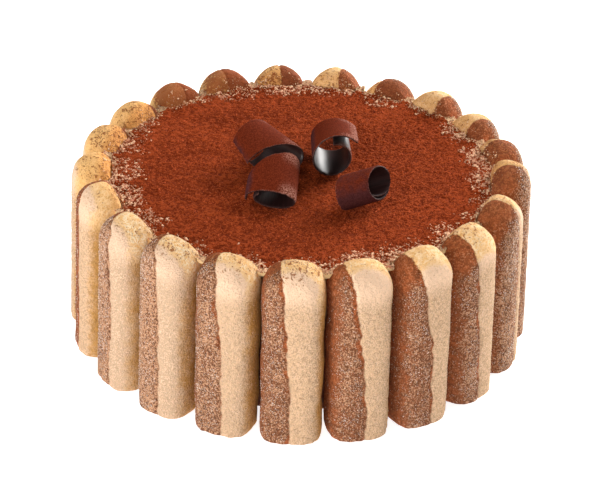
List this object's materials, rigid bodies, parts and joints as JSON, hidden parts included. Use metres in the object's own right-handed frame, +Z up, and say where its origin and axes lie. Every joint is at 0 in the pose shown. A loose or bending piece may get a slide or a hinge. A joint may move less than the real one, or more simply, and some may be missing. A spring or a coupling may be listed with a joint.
{
  "type": "tiramisu cake",
  "caption": "Round tiramisu cake: a cocoa-dusted cream top inside a ring of upright two-colour sponge fingers, with rolled chocolate curls on the middle.",
  "frame": {"origin": "on the surface the cake stands on, under the axis of the round cream cake", "axes": "+Z up along the cake's axis; -Y towards the front, where the picture was taken from; +X to the right seen from the front"},
  "size_m": [0.2095, 0.2094, 0.0961],
  "materials": {
    "sponge_finger": null,
    "cocoa_on_cream": null,
    "dark_chocolate": null
  },
  "bodies": {
    "root": {"biscuit_01": "sponge_finger", "biscuit_02": "sponge_finger", "biscuit_03": "sponge_finger", "biscuit_04": "sponge_finger", "biscuit_05": "sponge_finger", "biscuit_06": "sponge_finger", "biscuit_07": "sponge_finger", "biscuit_08": "sponge_finger", "biscuit_09": "sponge_finger", "biscuit_10": "sponge_finger", "biscuit_11": "sponge_finger", "biscuit_12": "sponge_finger", "biscuit_13": "sponge_finger", "biscuit_14": "sponge_finger", "biscuit_15": "sponge_finger", "biscuit_16": "sponge_finger", "biscuit_17": "sponge_finger", "biscuit_18": "sponge_finger", "biscuit_19": "sponge_finger", "biscuit_20": "sponge_finger", "biscuit_21": "sponge_finger", "cream_cake": "cocoa_on_cream", "chocolate_curl_1": "dark_chocolate", "chocolate_curl_2": "dark_chocolate", "chocolate_curl_3": "dark_chocolate", "chocolate_curl_4": "dark_chocolate"}
  },
  "joints": []
}
